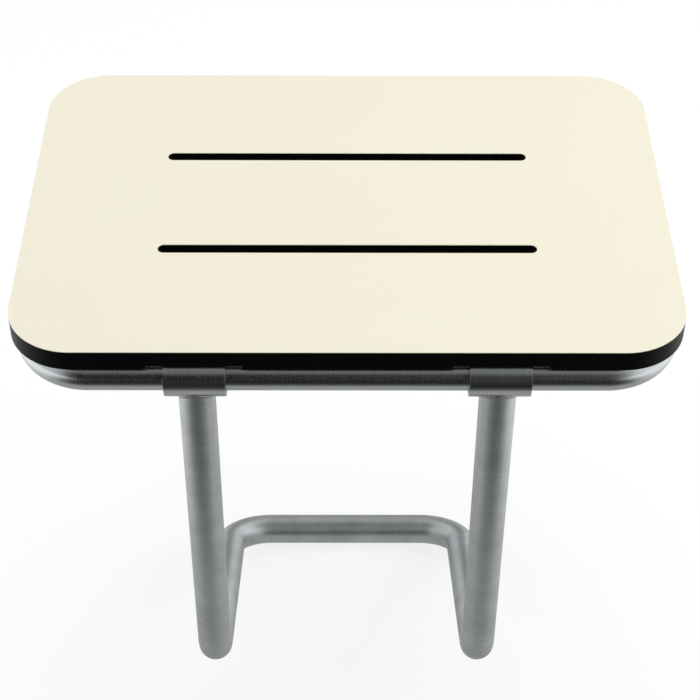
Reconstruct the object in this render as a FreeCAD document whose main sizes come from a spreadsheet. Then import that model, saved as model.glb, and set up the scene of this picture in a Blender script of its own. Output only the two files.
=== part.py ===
import FreeCAD, Part
import math
import os
import re

import Sketcher
from FreeCAD import Placement, Rotation, Vector

# Fold down wall seat. A bent tube frame carries a slotted panel and turns on two wall brackets;
# a tube leg hangs from the frame's front tube in two sleeves and stands on the floor.
# Frame: the wall is the plane Y = 0, the seat reaches towards -Y, X runs across the seat and Z is up.
# The origin is the centre of the wall screw pattern. Lengths are in millimetres, angles in degrees.

SIZES = {
    # panel: a black cored laminate board with a decor sheet pressed on each side
    "seat_width": 457.2,
    "seat_depth": 322.0,
    "seat_thickness": 15.9,
    "decor_thickness": 0.5,
    "corner_radius": 45.6,
    "rebate_depth": 3.2,
    "rebate_corner_radius": 4.0,
    "slot_length": 265.4,
    "slot_width": 8.8,
    "front_slot_setback": 107.4,
    "rear_slot_setback": 215.2,
    # tube stock, the same for the frame and for the leg
    "tube_diameter": 25.4,
    "tube_wall": 1.65,
    # seat frame
    "arm_inset": 14.6,
    "frame_bend_radius": 40.0,
    "frame_setback": 14.0,
    "panel_gap": 1.8,
    "arm_tail": 20.0,
    "cross_tube_advance": 60.0,
    "cross_tube_diameter": 19.05,
    "plug_cap": 2.0,
    "plug_spigot": 10.0,
    # pivots on the wall brackets
    "pivot_setback": 25.0,
    "pivot_reach": 48.0,
    "pivot_rise": 71.0,
    "pivot_tube_diameter": 16.0,
    "pivot_tube_bore": 12.2,
    "pivot_tube_stand_out": 0.3,
    "bush_spigot": 8.0,
    "bush_flange": 1.2,
    "bush_flange_diameter": 18.0,
    "bolt_diameter": 10.0,
    "running_gap": 0.05,
    "side_gap": 0.3,
    "bolt_head_diameter": 15.0,
    "bolt_head_height": 2.4,
    "bolt_head_rim": 0.5,
    "bolt_head_crown": 6.4,
    "bolt_socket": 5.0,
    "bolt_socket_depth": 1.8,
    "nut_across_flats": 16.0,
    "nut_height": 8.4,
    "bolt_run_out": 3.0,
    "washer_diameter": 20.0,
    "washer_thickness": 2.0,
    # wall brackets
    "plate_width": 84.0,
    "plate_outboard": 22.0,
    "plate_height": 78.0,
    "plate_thickness": 5.0,
    "plate_corner_radius": 8.0,
    "screw_column_spacing": 46.0,
    "screw_row_spacing": 50.0,
    "screw_hole_diameter": 8.5,
    "ear_thickness": 6.0,
    "ear_clearance": 1.0,
    "stop_boss_radius": 10.0,
    "stop_advance": 28.0,
    "stop_pin_diameter": 10.0,
    "stop_sleeve_diameter": 14.0,
    # lugs, inserts and screws that hold the panel
    "lug_thickness": 6.0,
    "front_lug_width": 11.0,
    "front_lug_nose": 8.0,
    "front_lug_tail": 34.0,
    "side_lug_width": 20.0,
    "side_lug_nose": 8.0,
    "side_lug_tail": 40.0,
    "lug_hole_margin": 8.0,
    "front_side_lug_setback": 100.0,
    "rear_side_lug_advance": 33.0,
    "lug_hole_diameter": 5.5,
    "insert_diameter": 8.0,
    "insert_length": 9.0,
    "lug_screw_diameter": 5.0,
    "lug_screw_grip": 7.0,
    "lug_screw_head": 9.5,
    "lug_screw_head_height": 2.8,
    # leg and its hinge sleeves
    "leg_spacing": 204.5,
    "knee_drop": 298.0,
    "foot_run": 214.8,
    "foot_fall": 98.0,
    "knee_bend_radius": 28.0,
    "foot_bend_radius": 36.0,
    "sleeve_length": 41.4,
    "sleeve_wall": 2.9,
    "liner_wall": 1.05,
    "sleeve_end_gap": 0.6,
    "leg_swing": 66.0,
    "stud_diameter": 6.0,
    "stud_reach": 18.2,
    "stud_angle": 50.0,
    "stop_slack_angle": 1.0,
}

# Places worked out from the sizes, as formulas.
TUBE_RADIUS = "(tube_diameter / 2)"
ARM_X = "(seat_width / 2 - arm_inset)"
LEG_X = "(leg_spacing / 2)"
PIVOT_Y = "(-pivot_reach)"
FRAME_REACH = "(seat_depth - pivot_setback - frame_setback)"
FRONT_Y = "(-pivot_reach - seat_depth + pivot_setback + frame_setback)"
CROSS_TUBE_Y = "(-pivot_reach - cross_tube_advance)"
PANEL_Y = "(-pivot_reach + pivot_setback - seat_depth / 2)"
PANEL_Z = "(pivot_rise + tube_diameter / 2 + panel_gap)"
REBATE_Z = "(pivot_rise + tube_diameter / 2 + panel_gap + rebate_depth)"
PIVOT_TUBE_LENGTH = "(tube_diameter + 2 * pivot_tube_stand_out)"
HINGE_GAP = "(tube_diameter + 2 * (pivot_tube_stand_out + bush_flange + side_gap))"
EAR_BOSS_RADIUS = "(tube_diameter / 2 + panel_gap - ear_clearance)"
STOP_DROP = "(tube_diameter / 2 + side_gap + stop_sleeve_diameter / 2)"
FRONT_LUG_OFFSET = "(sleeve_length / 2 + sleeve_end_gap + front_lug_width / 2)"
LINER_BORE = "(tube_diameter + 2 * running_gap)"
SLEEVE_BORE = "(tube_diameter + 2 * running_gap + 2 * liner_wall)"
SLEEVE_DIAMETER = "(tube_diameter + 2 * running_gap + 2 * liner_wall + 2 * sleeve_wall)"

ALONG_X = Rotation(Vector(0, 1, 0), 90)
ALONG_Y = Rotation(Vector(1, 0, 0), -90)
SIDES = (("left", -1), ("right", 1))

doc = FreeCAD.newDocument("fold_down_wall_seat")
sheet = doc.addObject("Spreadsheet::Sheet", "Sizes")
for row, (alias, size) in enumerate(SIZES.items(), start=1):
    sheet.set(f"A{row}", alias)
    sheet.set(f"B{row}", str(size))
    sheet.setAlias(f"B{row}", alias)
doc.recompute()


def full(formula):
    """The formula with each size's name written as its cell in the sheet."""
    return re.sub(r"[a-z_]+", lambda word: "Sizes." + word[0] if word[0] in SIZES else word[0], formula)


def number(formula):
    """The value of a formula of the sheet's sizes."""
    return float(sheet.evalExpression(full(formula)))


def bind(item, **formulas):
    """Bind properties of a document object to formulas."""
    for name, formula in formulas.items():
        item.setExpression(name, full(formula))


def place(item, x, y, z, turn=Rotation()):
    """Turn an object, and bind its base point to three formulas."""
    item.Placement = Placement(Vector(), turn)
    for axis, formula in zip("xyz", (x, y, z)):
        item.setExpression("Placement.Base." + axis, full(formula))


def rod(name, diameter, length, x, y, z, turn=Rotation()):
    """A round bar that starts at a point and runs along the turned Z axis."""
    bar = doc.addObject("Part::Cylinder", name)
    bind(bar, Radius=f"({diameter}) / 2", Height=length)
    place(bar, x, y, z, turn)
    return bar


def cross_rod(name, diameter, length, middle, y, z):
    """A round bar along X with its middle at a point."""
    return rod(name, diameter, length, f"({middle}) - ({length}) / 2", y, z, ALONG_X)


def block(name, length, width, height, x, y, z):
    """A box with its lowest corner at a point."""
    box = doc.addObject("Part::Box", name)
    bind(box, Length=length, Width=width, Height=height)
    place(box, x, y, z)
    return box


def hexagon(name, across_flats, height, x, y, z):
    """A hexagonal bar along X, from a point on its axis."""
    prism = doc.addObject("Part::Prism", name)
    prism.Polygon = 6
    bind(prism, Circumradius=f"{across_flats} / sqrt(3)", Height=height)
    place(prism, x, y, z, ALONG_X)
    return prism


def cut(name, base, tools):
    """The base with each tool taken away."""
    for index, tool in enumerate(tools):
        less = doc.addObject("Part::Cut", f"{name}_less_{index}")
        less.Base = base
        less.Tool = tool
        base = less
    base.Label = name
    return base


def join(name, pieces):
    """Pieces made as one."""
    whole = doc.addObject("Part::MultiFuse", name + "_whole")
    whole.Shapes = pieces
    whole.Label = name
    return whole


def group(name, pieces):
    """Separate pieces of one kind under one name."""
    lot = doc.addObject("Part::Compound", name + "_lot")
    lot.Links = pieces
    lot.Label = name
    return lot


def new_body(name):
    """An empty body."""
    return doc.addObject("PartDesign::Body", name)


def origin_plane(body, role):
    """One of a body's own origin planes."""
    return next(item for item in body.Origin.OriginFeatures if item.Role == role)


def new_sketch(body, role, name):
    """A sketch on one of a body's origin planes."""
    sketch = body.newObject("Sketcher::SketchObject", name)
    sketch.AttachmentSupport = (origin_plane(body, role), [""])
    sketch.MapMode = "FlatFace"
    return sketch


def hold(sketch, kind, place_of, formula):
    """Add one dimension to a sketch and bind it to a formula."""
    index = sketch.addConstraint(Sketcher.Constraint(kind, *place_of, number(formula)))
    label = f"held_{index}"
    sketch.renameConstraint(index, label)
    sketch.setExpression("Constraints." + label, full(formula))


def hold_point(sketch, geometry, point, x, y):
    """Hold a sketch point at a place measured from the sketch's origin."""
    hold(sketch, "DistanceX", (-1, 1, geometry, point), x)
    hold(sketch, "DistanceY", (-1, 1, geometry, point), y)


def circle(sketch, x, y, diameter):
    """A dimensioned circle."""
    ring = Part.Circle(Vector(number(x), number(y), 0), Vector(0, 0, 1), number(diameter) / 2)
    index = sketch.addGeometry(ring)
    hold_point(sketch, index, 3, x, y)
    hold(sketch, "Radius", (index,), f"({diameter}) / 2")


def belt(sketch, discs):
    """A closed outline drawn like a belt round discs (x, y, radius), listed anticlockwise.

    The straight from disc i to disc j touches both at normal n, where (cj - ci) . n = ri - rj.
    A disc of radius 0 is a sharp corner.
    """
    centres = [Vector(number(x), number(y), 0) for x, y, radius in discs]
    radii = [number(radius) for x, y, radius in discs]
    count = len(discs)
    leave = []
    arrive = [None] * count
    for i in range(count):
        j = (i + 1) % count
        step = centres[j] - centres[i]
        along = Vector(step).normalize()
        lean = (radii[i] - radii[j]) / step.Length
        normal = Vector(along.y, -along.x, 0) * math.sqrt(1 - lean * lean) + along * lean
        leave.append(centres[i] + normal * radii[i])
        arrive[j] = centres[j] + normal * radii[j]
    lines = [
        sketch.addGeometry(Part.LineSegment(leave[i], arrive[(i + 1) % count])) for i in range(count)
    ]
    for i, (x, y, radius) in enumerate(discs):
        before = lines[i - 1]
        after = lines[i]
        if radii[i] == 0:
            sketch.addConstraint(Sketcher.Constraint("Coincident", before, 2, after, 1))
            hold_point(sketch, after, 1, x, y)
            continue
        start = (arrive[i] - centres[i]) * (1 / radii[i])
        end = (leave[i] - centres[i]) * (1 / radii[i])
        ring = Part.Circle(centres[i], Vector(0, 0, 1), radii[i])
        angles = (math.atan2(start.y, start.x), math.atan2(end.y, end.x))
        arc = sketch.addGeometry(Part.ArcOfCircle(ring, *angles))
        sketch.addConstraint(Sketcher.Constraint("Tangent", before, 2, arc, 1))
        sketch.addConstraint(Sketcher.Constraint("Tangent", arc, 2, after, 1))
        hold_point(sketch, arc, 3, x, y)
        hold(sketch, "Radius", (arc,), radius)


def rounded_rectangle(sketch, width, depth, radius):
    """A rectangle with rounded corners about the sketch's origin."""
    x = f"(({width}) / 2 - ({radius}))"
    y = f"(({depth}) / 2 - ({radius}))"
    belt(sketch, [("-" + x, "-" + y, radius), (x, "-" + y, radius), (x, y, radius), ("-" + x, y, radius)])


def pad(body, sketch, length):
    """Thicken a sketch into a body."""
    feature = body.newObject("PartDesign::Pad", sketch.Name + "_pad")
    feature.Profile = sketch
    bind(feature, Length=length)
    return feature


def sink(body, name, depth, draw, *which):
    """Cut a drawn outline up into a body from the plane of its lower face."""
    doc.recompute()
    solid_volume = body.Shape.Volume
    sketch = new_sketch(body, "XY_Plane", f"{body.Name}_{name}")
    draw(sketch, *which)
    pocket = body.newObject("PartDesign::Pocket", sketch.Name + "_pocket")
    pocket.Profile = sketch
    pocket.Reversed = True
    bind(pocket, Length=depth)
    doc.recompute()
    if body.Shape.Volume >= solid_volume:
        raise RuntimeError(f"{sketch.Name} cut nothing")


def revolve(body, sketch):
    """Turn a sketch a full circle about its horizontal axis."""
    feature = body.newObject("PartDesign::Revolution", sketch.Name + "_turned")
    feature.Profile = sketch
    feature.ReferenceAxis = (sketch, ["H_Axis"])
    feature.Angle = 360
    return feature


def lug_places():
    """Every lug that holds the panel: screw place, and whether the lug sits on the front tube."""
    places = []
    for side in (-1, 1):
        for offset in (-1, 1):
            x = f"({side} * {LEG_X} + {offset} * {FRONT_LUG_OFFSET})"
            places.append((x, f"({FRONT_Y} + front_lug_tail - lug_hole_margin)", True))
        x = f"({side} * ({ARM_X} - side_lug_tail + lug_hole_margin))"
        places.append((x, f"({FRONT_Y} + front_side_lug_setback)", False))
        places.append((x, f"({CROSS_TUBE_Y} - rear_side_lug_advance)", False))
    return places


def rest_height(on_front):
    """Where the board rests on a lug: in a rebate over the front tube, else on its lower face."""
    return REBATE_Z if on_front else PANEL_Z


def panel_layer(name, bottom, thickness):
    """One layer of the board: rounded outline and two drain slots."""
    body = new_body(name)
    outline = new_sketch(body, "XY_Plane", name + "_outline")
    rounded_rectangle(outline, "seat_width", "seat_depth", "corner_radius")
    end = "(slot_length / 2 - slot_width / 2)"
    for setback in ("front_slot_setback", "rear_slot_setback"):
        y = f"({setback} - seat_depth / 2)"
        belt(outline, [("-" + end, y, "slot_width / 2"), (end, y, "slot_width / 2")])
    pad(body, outline, thickness)
    place(body, "0", PANEL_Y, bottom)
    return body


def hinge_rebate(sketch, side):
    """A rebate's outline: open at the board's front edge, clear of one leg sleeve and its two lugs."""
    reach = f"({FRONT_LUG_OFFSET} + front_lug_width / 2 + side_gap)"
    low = f"({side} * {LEG_X} - {reach})"
    high = f"({side} * {LEG_X} + {reach})"
    front = "(-seat_depth / 2 - rebate_corner_radius)"
    rear = f"({FRONT_Y} + front_lug_tail - {PANEL_Y})"
    corners = [
        (low, front, "0"),
        (high, front, "0"),
        (f"({high} - rebate_corner_radius)", rear, "rebate_corner_radius"),
        (f"({low} + rebate_corner_radius)", rear, "rebate_corner_radius"),
    ]
    belt(sketch, corners)


def insert_holes(sketch, wanted_on_front):
    """The round holes for the inserts over the front tube, or for those over the arms."""
    for x, y, on_front in lug_places():
        if on_front == wanted_on_front:
            circle(sketch, x, f"{y} - {PANEL_Y}", "insert_diameter")


def panel():
    """The board: core, and a decor sheet on each side, rebated over the leg hinges."""
    core_thickness = "seat_thickness - 2 * decor_thickness"
    core = panel_layer("seat_core", f"{PANEL_Z} + decor_thickness", core_thickness)
    top = f"{PANEL_Z} + seat_thickness - decor_thickness"
    top_face = panel_layer("top_decor_face", top, "decor_thickness")
    bottom_face = panel_layer("bottom_decor_face", PANEL_Z, "decor_thickness")
    for side, sign in SIDES:
        sink(core, side + "_rebate", "rebate_depth - decor_thickness", hinge_rebate, sign)
        sink(bottom_face, side + "_rebate", "decor_thickness", hinge_rebate, sign)
    sink(core, "front_insert_holes", "rebate_depth + insert_length - decor_thickness", insert_holes, True)
    sink(core, "side_insert_holes", "insert_length - decor_thickness", insert_holes, False)
    sink(bottom_face, "side_insert_holes", "decor_thickness", insert_holes, False)
    return [core, top_face, bottom_face]


def seat_frame_tube():
    """The bent tube: a front run and two arms, drilled across for the pivot tubes."""
    body = new_body("seat_frame_tube")
    path = new_sketch(body, "XY_Plane", "frame_path")
    radius = number("frame_bend_radius")
    corner = Vector(number(ARM_X), 0, 0)
    tail = number(f"{FRAME_REACH} + arm_tail")
    front = path.addGeometry(Part.LineSegment(Vector(), corner - Vector(radius, 0, 0)))
    ring = Part.Circle(corner + Vector(-radius, radius, 0), Vector(0, 0, 1), radius)
    bend = path.addGeometry(Part.ArcOfCircle(ring, -math.pi / 2, 0))
    arm = path.addGeometry(Part.LineSegment(corner + Vector(0, radius, 0), Vector(corner.x, tail, 0)))
    path.addConstraint(Sketcher.Constraint("Coincident", front, 1, -1, 1))
    path.addConstraint(Sketcher.Constraint("Horizontal", front))
    path.addConstraint(Sketcher.Constraint("Vertical", arm))
    path.addConstraint(Sketcher.Constraint("Tangent", front, 2, bend, 1))
    path.addConstraint(Sketcher.Constraint("Tangent", bend, 2, arm, 1))
    hold(path, "Radius", (bend,), "frame_bend_radius")
    hold_point(path, arm, 2, ARM_X, f"{FRAME_REACH} + arm_tail")
    section = new_sketch(body, "YZ_Plane", "frame_section")
    circle(section, "0", "0", "tube_diameter")
    circle(section, "0", "0", "tube_diameter - 2 * tube_wall")
    doc.recompute()
    pipe = body.newObject("PartDesign::AdditivePipe", "frame_half")
    pipe.Profile = section
    pipe.Spine = (path, ["Edge1", "Edge2", "Edge3"])
    doc.recompute()
    mirror = body.newObject("PartDesign::Mirrored", "frame_both_halves")
    mirror.Originals = [pipe]
    mirror.MirrorPlane = (origin_plane(body, "YZ_Plane"), [""])
    body.Tip = mirror
    doc.recompute()
    solid_volume = body.Shape.Volume
    holes = new_sketch(body, "YZ_Plane", "pivot_holes")
    circle(holes, FRAME_REACH, "0", "pivot_tube_diameter")
    pocket = body.newObject("PartDesign::Pocket", "pivot_drilling")
    pocket.Profile = holes
    pocket.Type = "ThroughAll"
    pocket.Midplane = True
    doc.recompute()
    if body.Shape.Volume >= solid_volume:
        raise RuntimeError("seat_frame_tube: the pivot drilling cut nothing")
    place(body, "0", FRONT_Y, "pivot_rise")
    return body


def arm_bar(side, name, diameter):
    """A bar as long as an arm and on its axis, used to fit other pieces to the arm."""
    return rod(name, diameter, FRAME_REACH, f"{side} * {ARM_X}", FRONT_Y, "pivot_rise", ALONG_Y)


def rear_cross_tube():
    """The tube between the arms, its ends coped to them."""
    bore_diameter = "cross_tube_diameter - 2 * tube_wall"
    length = f"2 * {ARM_X}"
    outside = cross_rod("cross_tube_outside", "cross_tube_diameter", length, "0", CROSS_TUBE_Y, "pivot_rise")
    bore = cross_rod("cross_tube_bore", bore_diameter, length, "0", CROSS_TUBE_Y, "pivot_rise")
    arms = [arm_bar(sign, f"cross_tube_{side}_cope", "tube_diameter") for side, sign in SIDES]
    return cut("rear_cross_tube", outside, [bore] + arms)


def lug(name, x, y, on_front):
    """A flat lug welded on top of a tube, saddled to it, with one screw hole."""
    under = f"({rest_height(on_front)} - lug_thickness)"
    if on_front:
        width = "front_lug_width"
        start = f"{FRONT_Y} - front_lug_nose"
        length = "front_lug_nose + front_lug_tail"
        plate = block(name + "_plate", width, length, "lug_thickness", f"{x} - {width} / 2", start, under)
        tube = cross_rod(name + "_saddle", "tube_diameter", f"2 * {width}", x, FRONT_Y, "pivot_rise")
    else:
        width = "side_lug_width"
        side = -1 if number(x) < 0 else 1
        length = "(side_lug_nose + side_lug_tail)"
        start = f"{side} * {ARM_X} - side_lug_tail" if side > 0 else f"{side} * {ARM_X} - side_lug_nose"
        plate = block(name + "_plate", length, width, "lug_thickness", start, f"{y} - {width} / 2", under)
        tube = arm_bar(side, name + "_saddle", "tube_diameter")
    hole = rod(name + "_hole", "lug_hole_diameter", "lug_thickness", x, y, under)
    return cut(name, plate, [tube, hole])


def lugs():
    """The lugs on the front tube, which also keep the leg sleeves in place, and those on the arms."""
    front = []
    side = []
    for index, (x, y, on_front) in enumerate(lug_places()):
        kind = front if on_front else side
        kind.append(lug(f"lug_{index}", x, y, on_front))
    return [group("front_lugs", front), group("side_lugs", side)]


def panel_fasteners():
    """Brass inserts pressed into the board from below, and the screws that reach them through the lugs."""
    inserts = []
    screws = []
    for index, (x, y, on_front) in enumerate(lug_places()):
        top = rest_height(on_front)
        shell = rod(f"insert_{index}_outside", "insert_diameter", "insert_length", x, y, top)
        bore = rod(f"insert_{index}_bore", "lug_screw_diameter", "insert_length", x, y, top)
        inserts.append(cut(f"insert_{index}", shell, [bore]))
        length = "lug_thickness + lug_screw_grip"
        shank = rod(f"lug_screw_{index}_shank", "lug_screw_diameter", length, x, y, f"{top} - lug_thickness")
        under = f"{top} - lug_thickness - lug_screw_head_height"
        head = rod(f"lug_screw_{index}_head", "lug_screw_head", "lug_screw_head_height", x, y, under)
        screws.append(join(f"lug_screw_{index}", [shank, head]))
    return [group("threaded_inserts", inserts), group("lug_screws", screws)]


def arm_pivots():
    """In each arm's end: a cross tube welded through it, two flanged bushes and an end plug."""
    tubes = []
    bushes = []
    plugs = []
    for side, sign in SIDES:
        middle = f"{sign} * {ARM_X}"
        place_of = (PIVOT_TUBE_LENGTH, middle, PIVOT_Y, "pivot_rise")
        shell = cross_rod(side + "_pivot_tube_outside", "pivot_tube_diameter", *place_of)
        bore = cross_rod(side + "_pivot_tube_bore", "pivot_tube_bore", *place_of)
        tubes.append(cut(side + "_pivot_tube", shell, [bore]))
        for end in (-1, 1):
            bushes.append(bush(f"{side}_bush_{end + 1}", f"{middle} + {end} * {PIVOT_TUBE_LENGTH} / 2", end))
        plugs.append(end_plug(side + "_plug", middle))
    return [group("pivot_tubes", tubes), group("arm_bushes", bushes), group("arm_end_plugs", plugs)]


def bush(name, x, end):
    """A flanged bush: its flange lies outside the pivot tube and its spigot runs into it."""
    body = new_body(name)
    sketch = new_sketch(body, "XY_Plane", name + "_profile")
    inner = "bolt_diameter / 2 + running_gap"
    spigot = "pivot_tube_bore / 2"
    flange = "bush_flange_diameter / 2"
    corners = [
        ("-bush_spigot", inner, "0"),
        ("bush_flange", inner, "0"),
        ("bush_flange", flange, "0"),
        ("0", flange, "0"),
        ("0", spigot, "0"),
        ("-bush_spigot", spigot, "0"),
    ]
    belt(sketch, corners)
    revolve(body, sketch)
    place(body, x, PIVOT_Y, "pivot_rise", Rotation(Vector(0, 0, 1), 0 if end > 0 else 180))
    return body


def end_plug(name, x):
    """A moulded plug: a domed edge cap on a spigot that fills the tube."""
    body = new_body(name)
    sketch = new_sketch(body, "XY_Plane", name + "_profile")
    spigot = f"({TUBE_RADIUS} - tube_wall)"
    corners = [
        ("-plug_spigot", "0", "0"),
        ("plug_cap", "0", "0"),
        ("plug_cap - plug_cap / 2", f"{TUBE_RADIUS} - plug_cap / 2", "plug_cap / 2"),
        ("0", TUBE_RADIUS, "0"),
        ("0", spigot, "0"),
        ("-plug_spigot", spigot, "0"),
    ]
    belt(sketch, corners)
    revolve(body, sketch)
    place(body, x, f"{PIVOT_Y} + arm_tail", "pivot_rise", Rotation(Vector(0, 0, 1), 90))
    return body


def wall_plate(side, sign):
    """A bracket's back plate: two screw holes in line with the arm and two further inboard."""
    body = new_body(side + "_wall_plate")
    sketch = new_sketch(body, "XZ_Plane", side + "_plate_outline")
    rounded_rectangle(sketch, "plate_width", "plate_height", "plate_corner_radius")
    for column in ("0", "screw_column_spacing"):
        x = f"{sign} * (plate_width / 2 - plate_outboard - {column})"
        for line in (-1, 1):
            circle(sketch, x, f"{line} * screw_row_spacing / 2", "screw_hole_diameter")
    pad(body, sketch, "plate_thickness")
    place(body, f"{sign} * ({ARM_X} + plate_outboard - plate_width / 2)", "0", "0")
    return body


def outward(sign, start, length):
    """The low X end of a piece that runs outwards from a point, measured from the middle of the seat."""
    edge = f"({sign} * ({start}))"
    return edge if sign > 0 else f"({edge} - ({length}))"


def ear(name, x):
    """A bracket's cheek: it leaves the plate below the board's sweep and hooks up to the pivot."""
    body = new_body(name)
    sketch = new_sketch(body, "YZ_Plane", name + "_outline")
    wall = "pivot_reach - plate_thickness"
    web = "plate_height / 2 - pivot_rise"
    outline = [
        (wall, "-plate_height / 2 - pivot_rise", "0"),
        (wall, web, "0"),
        (EAR_BOSS_RADIUS, web, "0"),
        ("0", "0", EAR_BOSS_RADIUS),
        ("-stop_advance", "-" + STOP_DROP, "stop_boss_radius"),
    ]
    belt(sketch, outline)
    circle(sketch, "0", "0", "bolt_diameter + 2 * running_gap")
    circle(sketch, "-stop_advance", "-" + STOP_DROP, "stop_pin_diameter")
    pad(body, sketch, "ear_thickness")
    place(body, x, PIVOT_Y, "pivot_rise")
    return body


def wall_brackets():
    """Both brackets: a back plate, and a cheek on the arm's inner side."""
    nodes = []
    for side, sign in SIDES:
        nodes.append(wall_plate(side, sign))
        inner_face = f"{ARM_X} - {HINGE_GAP} / 2 - ear_thickness"
        nodes.append(ear(side + "_bracket_ear", outward(sign, inner_face, "ear_thickness")))
    return nodes


def button_head(name, sign, start):
    """A low domed bolt head with a hexagon socket, its flat side towards the arm."""
    body = new_body(name + "_dome")
    sketch = new_sketch(body, "XY_Plane", name + "_profile")
    corners = [
        ("0", "0", "0"),
        ("bolt_head_height", "0", "0"),
        ("bolt_head_height", "bolt_head_crown / 2", "0"),
        ("bolt_head_rim", "bolt_head_diameter / 2", "0"),
        ("0", "bolt_head_diameter / 2", "0"),
    ]
    belt(sketch, corners)
    revolve(body, sketch)
    turn = Rotation(Vector(0, 0, 1), 0 if sign > 0 else 180)
    place(body, f"{sign} * ({start})", PIVOT_Y, "pivot_rise", turn)
    socket_x = outward(sign, f"{start} + bolt_head_height - bolt_socket_depth", "bolt_socket_depth")
    socket = hexagon(name + "_socket", "bolt_socket", "bolt_socket_depth", socket_x, PIVOT_Y, "pivot_rise")
    return cut(name, body, [socket])


def bracket_hardware():
    """Hinge bolts with washers and nuts, and the padded pins that the arms come down on."""
    bolts = []
    nuts = []
    washers = []
    pins = []
    sleeves = []
    outer = f"{ARM_X} + {HINGE_GAP} / 2"
    inner = f"{ARM_X} - {HINGE_GAP} / 2 - ear_thickness"
    for side, sign in SIDES:
        at_pivot = (PIVOT_Y, "pivot_rise")
        shank_length = f"({HINGE_GAP} + ear_thickness + washer_thickness + nut_height + bolt_run_out)"
        shank_x = outward(sign, f"{outer} - {shank_length}", shank_length)
        shank = rod(side + "_bolt_shank", "bolt_diameter", shank_length, shank_x, *at_pivot, ALONG_X)
        bolts.append(join(side + "_hinge_bolt", [shank, button_head(side + "_bolt_head", sign, outer)]))
        washer_x = outward(sign, f"{inner} - washer_thickness", "washer_thickness")
        washer_size = ("washer_diameter", "washer_thickness")
        washer = rod(side + "_washer_disc", *washer_size, washer_x, *at_pivot, ALONG_X)
        washers.append(cut(side + "_washer", washer, [shank]))
        nut_x = outward(sign, f"{inner} - washer_thickness - nut_height", "nut_height")
        nut = hexagon(side + "_nut_blank", "nut_across_flats", "nut_height", nut_x, *at_pivot)
        nuts.append(cut(side + "_nut", nut, [shank]))
        at_stop = (f"{PIVOT_Y} - stop_advance", f"pivot_rise - {STOP_DROP}")
        pin_length = f"({HINGE_GAP} + ear_thickness)"
        pin_x = outward(sign, inner, pin_length)
        pin = rod(side + "_stop_pin", "stop_pin_diameter", pin_length, pin_x, *at_stop, ALONG_X)
        pins.append(pin)
        sleeve_size = ("stop_sleeve_diameter", f"{HINGE_GAP} - 2 * side_gap")
        middle = f"{sign} * {ARM_X}"
        sleeve = cross_rod(side + "_stop_sleeve_blank", *sleeve_size, middle, *at_stop)
        sleeves.append(cut(side + "_stop_sleeve", sleeve, [pin]))
    return [
        group("hinge_bolts", bolts),
        group("hinge_nuts", nuts),
        group("hinge_washers", washers),
        group("stop_pins", pins),
        group("stop_sleeves", sleeves),
    ]


def stop_slot(name, middle):
    """The sector that the stop stud sweeps through a sleeve as the leg swings."""
    stud_angle = math.degrees(math.asin(number("stud_diameter / tube_diameter")))
    half_width = stud_angle + number("stop_slack_angle")
    start = number("stud_angle - leg_swing") - half_width
    sector = doc.addObject("Part::Cylinder", name)
    width = "(stud_diameter + 2 * side_gap)"
    bind(sector, Radius=SLEEVE_DIAMETER, Height=width)
    sector.Angle = number("leg_swing") + 2 * half_width
    turn = Rotation(Vector(1, 0, 0), start + 90).multiply(ALONG_X)
    place(sector, f"{middle} - {width} / 2", FRONT_Y, "pivot_rise", turn)
    return sector


def leg_hinges():
    """The sleeves round the front tube, their liners, and the studs that stop the leg upright."""
    nodes = []
    liners = []
    studs = []
    for side, sign in SIDES:
        middle = f"{sign} * {LEG_X}"
        place_of = ("sleeve_length", middle, FRONT_Y, "pivot_rise")
        slot = stop_slot(side + "_stop_slot", middle)
        outside = cross_rod(side + "_sleeve_outside", SLEEVE_DIAMETER, *place_of)
        sleeve_bore = cross_rod(side + "_sleeve_bore", SLEEVE_BORE, *place_of)
        nodes.append(cut(side + "_leg_sleeve", outside, [sleeve_bore, slot]))
        liner_blank = cross_rod(side + "_liner_outside", SLEEVE_BORE, *place_of)
        liner_bore = cross_rod(side + "_liner_bore", LINER_BORE, *place_of)
        liners.append(cut(side + "_liner", liner_blank, [liner_bore, slot]))
        lean = Rotation(Vector(1, 0, 0), number("stud_angle") - 90)
        stud = rod(side + "_stud_bar", "stud_diameter", "stud_reach", middle, FRONT_Y, "pivot_rise", lean)
        tube = cross_rod(side + "_stud_saddle", "tube_diameter", "leg_spacing", middle, FRONT_Y, "pivot_rise")
        studs.append(cut(side + "_stud", stud, [tube]))
    return nodes + [group("sleeve_liners", liners), group("leg_stop_studs", studs)]


def rounded_path(points, radii):
    """A wire through the points, each inner corner replaced by a tangent arc of its radius."""
    edges = []
    start = points[0]
    for before, corner, after, radius in zip(points, points[1:], points[2:], radii):
        to_before = (before - corner).normalize()
        to_after = (after - corner).normalize()
        half = to_before.getAngle(to_after) / 2
        reach = radius / math.tan(half)
        arc_start = corner + to_before * reach
        arc_end = corner + to_after * reach
        bisector = (to_before + to_after).normalize()
        arc_middle = corner + bisector * (radius / math.sin(half) - radius)
        edges.append(Part.LineSegment(start, arc_start).toShape())
        edges.append(Part.Arc(arc_start, arc_middle, arc_end).toShape())
        start = arc_end
    edges.append(Part.LineSegment(start, points[-1]).toShape())
    return Part.Wire(edges)


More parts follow.
